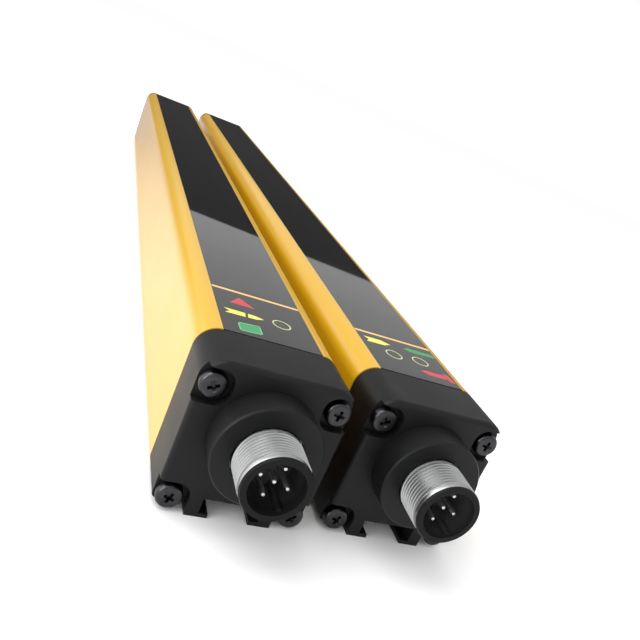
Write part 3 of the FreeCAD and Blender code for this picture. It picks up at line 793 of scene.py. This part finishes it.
@dataclass
class CapScrews:
    """Four pan-head screws of a cap with cross recesses that narrow to a share at their floor."""

    place: BarPlace
    cap: Cap
    across: float = 11.35 * MM
    heights: tuple[float, float] = (2.85 * MM, 25.2 * MM)
    head_radius: float = 2.4 * MM
    head_height: float = 1.9 * MM
    head_round: float = 0.75 * MM
    head_steps: int = 5
    head_sides: int = 40
    shank_radius: float = 1.25 * MM
    shank_sides: int = 24
    recess_width: float = 0.78 * MM
    recess_reach: float = 1.55 * MM
    recess_depth: float = 0.85 * MM
    recess_floor: tuple[float, float, float] = (0.35, 1.0, 0.6)
    turns: tuple[float, ...] = (0.35, 1.1, 0.8, 0.15)
    smooth: float = math.radians(28)

    def recess_cutter(self, face: Vector, outward: float) -> bpy.types.Object:
        """Cross-shaped cutter that narrows with depth.

        Args:
            face: Centre of the head's face.
            outward: -1 where the head looks to the plug's side, 1 at the far end.

        Returns:
            The cutter.
        """
        blades = []
        for turn in (0.0, QUARTER):
            clear_selection()
            bpy.ops.mesh.primitive_cube_add(size=1.0, location=(0, 0, 0))
            blade = bpy.context.object
            blade.scale = (self.recess_reach * 2, self.recess_depth * 2, self.recess_width)
            set_down(blade)
            select_points(blade, lambda place: place.y * outward < 0)
            bpy.ops.transform.resize(value=self.recess_floor)
            bpy.ops.object.mode_set(mode="OBJECT")
            blade.rotation_euler = (0, turn, 0)
            set_down(blade)
            blades.append(blade)
        combine(blades[0], blades[1], "UNION")
        blades[0].location = face
        set_down(blades[0])
        return blades[0]

    def head(self, face: Vector, outward: float) -> bpy.types.Object:
        """One screw: rounded head, cross recess and shank.

        Args:
            face: Centre of the head's face.
            outward: Which way the head looks along the bar.

        Returns:
            The screw.
        """
        start = face if outward < 0 else face - Vector((0, self.head_height, 0))
        screw = rod(self.head_radius, self.head_height, start, self.head_sides)
        select_faces(screw, lambda centre, normal: normal.y * outward > FACING)
        bpy.ops.mesh.bevel(offset=self.head_round, segments=self.head_steps, affect="EDGES")
        bpy.ops.object.mode_set(mode="OBJECT")
        combine(screw, self.recess_cutter(face, outward), "DIFFERENCE")
        low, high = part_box(f"{self.place.bar.value}_{self.cap.value}_screws")
        length = high.y - low.y - self.head_height
        inner = face.y - outward * self.head_height
        shank_start = inner if outward < 0 else inner - length
        shank = rod(self.shank_radius, length, Vector((face.x, shank_start, face.z)), self.shank_sides)
        return join([screw, shank], "screw")

    def build(self) -> bpy.types.Object:
        """Model the four screws of the cap.

        Returns:
            The four screws as one piece.
        """
        outward = -1.0 if self.cap is Cap.CONNECTOR else 1.0
        low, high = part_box(f"{self.place.bar.value}_{self.cap.value}_screws")
        face = low.y if outward < 0 else high.y
        spots = [(side, height) for side in (-1, 1) for height in self.heights]
        first = self.head(Vector((0, face, 0)), outward)
        screws = []
        for (side, height), turn in zip(spots, self.turns):
            twin = copy_piece(first, Vector((0, 0, 0)))
            twin.rotation_euler = (0, turn, 0)
            twin.location = Vector((self.place.middle + side * self.across, 0, height))
            set_down(twin)
            screws.append(twin)
        bpy.data.objects.remove(first)
        name = f"{self.place.bar.value}_{self.cap.value}"
        joined = join(screws, f"{name}_pan_screws")
        tidy_mesh(joined, self.smooth)
        hand_over(joined, DARK_SCREW, "dark_screws", f"{name}_screws")
        return joined


class Ink(Enum):
    """The printed colours of the label."""

    AMBER = "amber"
    LEMON = "lemon"
    RED = "red"
    GREEN = "green"
    CREAM = "cream"
    PALE_GREEN = "pale green"
    SMOKED = "smoked"


INK_FINISHES = {
    Ink.AMBER: AMBER_INK, Ink.LEMON: LEMON_INK, Ink.RED: RED_INK, Ink.GREEN: GREEN_INK,
    Ink.CREAM: CREAM_INK, Ink.PALE_GREEN: PALE_GREEN_INK, Ink.SMOKED: SMOKED_INK,
}


@dataclass(frozen=True)
class PrintedField:
    """A printed field: its outline from the bar's left flank and its cap joint, in millimetres."""

    name: str
    ink: Ink
    corners: tuple[Place, ...]
    rounding: float = 0.0
    border: float = 0.0


@dataclass(frozen=True)
class PrintedRing:
    """A printed ring around a status light."""

    name: str
    centre: Place
    radius: float = 1.95
    width: float = 0.27
    lens_gap: float = 0.06


@dataclass
class Label:
    """Printed label at the window's near end: dark film with thin ink fields."""

    place: BarPlace
    fields: tuple[PrintedField, ...]
    rings: tuple[PrintedRing, ...]
    ink_thick: float = 0.012 * MM
    half_bar: float = 14.0 * MM
    film_edge: float = 0.05 * MM
    film_steps: int = 2
    film_smooth: float = math.radians(5)
    outline_start: Place = (14.0, 8.0)
    outline_radius: float = 1.0 * MM
    corner_steps: int = 5
    disc_sides: int = 56

    def spot(self, place: Place, height: float) -> Vector:
        """Point of the label from the bar's left flank and its joint, in millimetres."""
        return self.place.point(place[0] * MM - self.half_bar, place[1] * MM, height)

    def film(self) -> bpy.types.Object:
        """Film that carries the print.

        Returns:
            The film, a little thinner than its place so that the ink lies level with the window.
        """
        name = f"{self.place.bar.value}_label"
        low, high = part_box(name)
        high.z -= self.ink_thick
        clear_selection()
        bpy.ops.mesh.primitive_cube_add(size=1.0, location=(low + high) / 2)
        film = bpy.context.object
        film.scale = high - low
        set_down(film)
        select_faces(film, lambda centre, normal: normal.z > FACING)
        bpy.ops.mesh.bevel(offset=self.film_edge, segments=self.film_steps, affect="EDGES")
        bpy.ops.object.mode_set(mode="OBJECT")
        film.name = f"{name}_film"
        tidy_mesh(film, self.film_smooth)
        hand_over(film, PRINTED_FILM, "printed_film", name)
        return film

    def raise_ink(self, piece: bpy.types.Object) -> None:
        """Give a flat ink outline its thickness up to the window's level.

        Args:
            piece: The flat outline.
        """
        pick(piece)
        bpy.ops.object.mode_set(mode="EDIT")
        bpy.ops.mesh.select_all(action="SELECT")
        bpy.ops.mesh.extrude_region_move(TRANSFORM_OT_translate={"value": (0, 0, self.ink_thick)})
        bpy.ops.object.mode_set(mode="OBJECT")
        tidy_mesh(piece)

    def print_field(self, shape: PrintedField) -> bpy.types.Object:
        """Print one field.

        Args:
            shape: The field's outline and ink.

        Returns:
            The ink piece.
        """
        clear_selection()
        level = self.place.top - self.ink_thick
        bpy.ops.mesh.primitive_circle_add(
            vertices=len(shape.corners), radius=self.outline_radius, fill_type="NGON",
            location=self.spot(self.outline_start, level))
        piece = bpy.context.object
        set_down(piece)
        for index, corner in enumerate(shape.corners):
            here = piece.data.vertices[index].co.copy()
            select_points(piece, lambda place: (place - here).length < SAME_SPOT)
            bpy.ops.transform.translate(value=self.spot(corner, level) - here)
            bpy.ops.object.mode_set(mode="OBJECT")
        if shape.rounding:
            select_points(piece, lambda place: True)
            bpy.ops.mesh.bevel(offset=shape.rounding * MM, segments=self.corner_steps, affect="VERTICES")
            bpy.ops.object.mode_set(mode="OBJECT")
        if shape.border:
            self.hollow(piece, shape.border)
        self.raise_ink(piece)
        piece.name = f"{self.place.bar.value}_print_{shape.name}"
        hand_over(piece, INK_FINISHES[shape.ink], "printed_film")
        return piece

    def hollow(self, piece: bpy.types.Object, width: float) -> None:
        """Leave only the border of a flat outline.

        Args:
            piece: The flat piece.
            width: The border's width in millimetres.
        """
        select_faces(piece, lambda centre, normal: True)
        bpy.ops.mesh.inset(thickness=width * MM, depth=0)
        bpy.ops.mesh.delete(type="FACE")
        bpy.ops.object.mode_set(mode="OBJECT")

    def disc(self, centre: Place, radius: float) -> bpy.types.Object:
        """Flat round outline at the ink's level.

        Args:
            centre: Its place on the label.
            radius: Its radius in millimetres.

        Returns:
            The flat piece.
        """
        clear_selection()
        spot = self.spot(centre, self.place.top - self.ink_thick)
        bpy.ops.mesh.primitive_circle_add(
            vertices=self.disc_sides, radius=radius * MM, fill_type="NGON", location=spot)
        piece = bpy.context.object
        set_down(piece)
        return piece

    def print_ring(self, ring: PrintedRing) -> list[bpy.types.Object]:
        """Print one ring and the smoked field of the status light inside it.

        Args:
            ring: The ring's place and size.

        Returns:
            The two ink pieces.
        """
        border = self.disc(ring.centre, ring.radius)
        self.hollow(border, ring.width)
        lens = self.disc(ring.centre, ring.radius - ring.width - ring.lens_gap)
        for piece, name, ink in ((border, ring.name, Ink.CREAM), (lens, f"{ring.name}_light", Ink.SMOKED)):
            self.raise_ink(piece)
            piece.name = f"{self.place.bar.value}_print_{name}"
            hand_over(piece, INK_FINISHES[ink], "printed_film")
        return [border, lens]

    def build(self) -> list[bpy.types.Object]:
        """Model the film and its print.

        Returns:
            All the pieces of the label.
        """
        pieces = [self.film()]
        pieces += [self.print_field(shape) for shape in self.fields]
        for ring in self.rings:
            pieces += self.print_ring(ring)
        return pieces


def band(start: float, end: float, middle: float, width: float) -> tuple[Place, ...]:
    """Corners of a straight printed band across the label."""
    half = width / 2
    return (start, middle - half), (end, middle - half), (end, middle + half), (start, middle + half)


EMITTER_PRINT = (
    PrintedField("edge_line", Ink.AMBER, band(4.4, 23.6, 20.75, 0.95)),
    PrintedField("triangle", Ink.RED, ((7.3, 14.0), (12.6, 13.95), (9.8, 17.8)), 0.25),
    PrintedField("arrow_tail", Ink.LEMON, ((5.6, 8.4), (9.75, 8.55), (9.95, 10.45), (5.6, 10.5), (6.7, 9.5))),
    PrintedField(
        "arrow_tip", Ink.LEMON, ((10.3, 8.6), (12.0, 8.7), (13.7, 9.55), (12.1, 10.35), (10.5, 10.45))),
    PrintedField(
        "plate_edge", Ink.PALE_GREEN, ((7.6, 1.5), (12.1, 2.0), (12.1, 5.75), (7.6, 5.0)), 0.6, 0.22),
    PrintedField("plate", Ink.GREEN, ((7.86, 1.78), (11.84, 2.22), (11.84, 5.43), (7.86, 4.76)), 0.4),
)
RECEIVER_PRINT = (
    PrintedField("edge_line", Ink.AMBER, band(4.4, 23.6, 18.0, 0.95)),
    PrintedField(
        "arrow", Ink.LEMON,
        ((5.6, 12.8), (10.0, 13.0), (11.9, 14.15), (9.8, 15.3), (5.6, 15.3), (6.5, 14.1))),
    PrintedField("bar", Ink.GREEN, ((15.2, 14.3), (16.6, 13.3), (23.3, 13.5), (23.3, 15.1), (16.6, 15.2))),
    PrintedField("red_body", Ink.RED, ((15.4, 4.5), (17.0, 3.2), (21.3, 3.1), (21.6, 4.9), (17.0, 5.2))),
    PrintedField("red_end", Ink.RED, ((22.0, 2.3), (23.4, 2.3), (22.6, 5.7), (21.2, 5.7))),
)
EMITTER_RINGS = (PrintedRing("ring", (17.4, 9.6)),)
RECEIVER_RINGS = (PrintedRing("ring_left", (10.9, 9.2)), PrintedRing("ring_right", (17.56, 9.4)))


@dataclass(frozen=True)
class Card:
    """A card that only reflections see; upright unless its lean says otherwise."""

    name: str
    centre: Point
    size: Place
    colour: Colour
    lean: float = QUARTER
    turn: float = 0.0
    fade: Optional[Fade] = None


@dataclass(frozen=True)
class Lamp:
    """A soft square light; a sheen shows on glossy faces only."""

    name: str
    place: Point
    aim: Point
    side: float
    watts: float
    sheen: bool = False


# The grey card stands on the dark one's upper edge, and the windows mirror that edge as a line across them

PALE: Colour = (0.99, 0.99, 0.99)
DARK: Colour = (0.055, 0.055, 0.056)
GREY: Colour = (0.74, 0.74, 0.74)
COOL_GREY: Colour = (0.40, 0.42, 0.55)
ACROSS_VIEW = math.radians(-14.5)
CARD_WIDTH = 3.4
DARK_HEIGHT = 0.6416
GREY_HEIGHT = 1.6
GREY_BOTTOM = DARK_HEIGHT / 2
LOW_MIDDLE = 0.47
LOW_LENGTH = 1.14
FADE_FROM = -0.06
FADE_TO = 0.2
LOW_FADE = Fade((FADE_FROM - LOW_MIDDLE) / LOW_LENGTH, (FADE_TO - LOW_MIDDLE) / LOW_LENGTH, COOL_GREY)
CARDS = (
    Card("dark_card_behind", (0.2944, 1.0977, 0.0), (CARD_WIDTH, DARK_HEIGHT), DARK, turn=ACROSS_VIEW),
    Card(
        "grey_card_behind", (0.2964, 1.1057, GREY_BOTTOM + GREY_HEIGHT / 2), (CARD_WIDTH, GREY_HEIGHT), GREY,
        turn=ACROSS_VIEW),
    Card("low_card", (-0.241, LOW_MIDDLE, 0.001), (0.42, LOW_LENGTH), PALE, lean=0.0, fade=LOW_FADE),
)
LAMPS = (
    Lamp("side panel", (-0.6, -0.1, 0.3), (-0.03, -0.05, 0.0), side=0.9, watts=4.6, sheen=True),
    Lamp("back panel", (-0.8, 0.85, 0.3), (-0.02, -0.17, 0.02), side=0.7, watts=1.2, sheen=True),
    Lamp("front fill", (-0.25, -0.28, 0.1), (-0.03, -0.13, 0.015), side=0.12, watts=0.28),
    Lamp("key", (-0.5, -0.1, 0.9), (0.0, 0.0, 0.0), side=0.8, watts=5.6),
)


@dataclass
class Studio:
    """Pale floor, soft light and the cards that the glossy faces mirror."""

    cards: tuple[Card, ...] = CARDS
    lamps: tuple[Lamp, ...] = LAMPS
    sky: float = 1.0
    floor_side: float = 60.0
    floor_rough: float = 0.85
    card_rough: float = 0.9

    def surface(
            self, name: str, colour: Colour, roughness: float,
            fade: Optional[Fade] = None) -> bpy.types.Material:
        """Material of the floor or a card, without any gloss.

        Args:
            name: Its name.
            colour: Its linear colour.
            roughness: Its roughness.
            fade: What it fades into along its own Y axis.

        Returns:
            The material.
        """
        material = bpy.data.materials.new(name)
        material.use_nodes = True
        tree = material.node_tree
        shader = tree.nodes["Principled BSDF"]
        shader.inputs["Base Color"].default_value = (*colour, 1.0)
        shader.inputs["Roughness"].default_value = roughness
        shader.inputs["Specular IOR Level"].default_value = 0.0
        if fade:
            base = tree.nodes.new("ShaderNodeRGB")
            base.outputs["Color"].default_value = (*colour, 1.0)
            tree.links.new(fade.blend(tree, base.outputs["Color"]), shader.inputs["Base Color"])
        return material

    def floor(self) -> None:
        """Lay the pale floor."""
        clear_selection()
        bpy.ops.mesh.primitive_plane_add(size=self.floor_side, location=(0, 0, 0))
        floor = bpy.context.object
        floor.name = "studio_floor"
        floor.data.materials.append(self.surface("pale floor", PALE, self.floor_rough))

    def set_card(self, card: Card) -> None:
        """Set up a card.

        Args:
            card: Its place, size and colour.
        """
        clear_selection()
        bpy.ops.mesh.primitive_plane_add(size=1.0, location=(0, 0, 0))
        plane = bpy.context.object
        plane.scale = (*card.size, 1)
        plane.rotation_euler = (card.lean, 0, card.turn)
        plane.location = card.centre
        plane.name = card.name
        plane.data.materials.append(self.surface(card.name, card.colour, self.card_rough, card.fade))
        plane.visible_camera = False
        plane.visible_shadow = False
        plane.visible_diffuse = False

    def hang(self, lamp: Lamp) -> None:
        """Hang a light.

        Args:
            lamp: Its place, size and power.
        """
        data = bpy.data.lights.new(lamp.name, "AREA")
        data.size = lamp.side
        data.energy = lamp.watts
        light = bpy.data.objects.new(lamp.name, data)
        bpy.context.collection.objects.link(light)
        light.location = lamp.place
        towards = Vector(lamp.aim) - Vector(lamp.place)
        light.rotation_euler = towards.to_track_quat("-Z", "Y").to_euler()
        light.visible_diffuse = not lamp.sheen
        light.visible_camera = not lamp.sheen

    def world(self) -> None:
        """Set the even white surroundings and the plain view of colours."""
        bpy.context.scene.view_settings.view_transform = "Standard"
        world = bpy.data.worlds.new("studio")
        bpy.context.scene.world = world
        world.use_nodes = True
        background = world.node_tree.nodes["Background"]
        background.inputs["Color"].default_value = (1, 1, 1, 1)
        background.inputs["Strength"].default_value = self.sky

    def build(self) -> None:
        """Set up the whole studio."""
        self.floor()
        self.world()
        for card in self.cards:
            self.set_card(card)
        for lamp in self.lamps:
            self.hang(lamp)


@dataclass
class PhotoCamera:
    """Camera at the photograph's angle."""

    place: Vector = field(default_factory=lambda: Vector((-56.135, -257.626, 74.25)) * MM)
    turn: tuple[float, float, float] = (70.6408, -22.5999, -15.4269)
    lens: float = 38.565
    sensor: float = 36.0
    nearest: float = 0.01

    def build(self) -> bpy.types.Object:
        """Set the camera up.

        Returns:
            The camera.
        """
        data = bpy.data.cameras.new("photo camera")
        data.sensor_width = self.sensor
        data.lens = self.lens
        data.clip_start = self.nearest
        camera = bpy.data.objects.new("photo camera", data)
        bpy.context.collection.objects.link(camera)
        camera.location = self.place
        camera.rotation_euler = [math.radians(angle) for angle in self.turn]
        bpy.context.scene.camera = camera
        return camera


def main() -> None:
    """Build the dressed light curtain, its studio and its camera."""
    logging.basicConfig(level=logging.INFO, format="%(message)s")
    Dressing().dress()
    prints = {
        Bar.EMITTER: (EMITTER_PRINT, EMITTER_RINGS),
        Bar.RECEIVER: (RECEIVER_PRINT, RECEIVER_RINGS),
    }
    for bar, (fields, rings) in prints.items():
        place = BarPlace.of(bar)
        ThreadedShell(place).build()
        PlugPins(place).build()
        for cap in Cap:
            CapScrews(place, cap).build()
        Label(place, fields, rings).build()
    Studio().build()
    PhotoCamera().build()


if __name__ == "__main__":
    main()
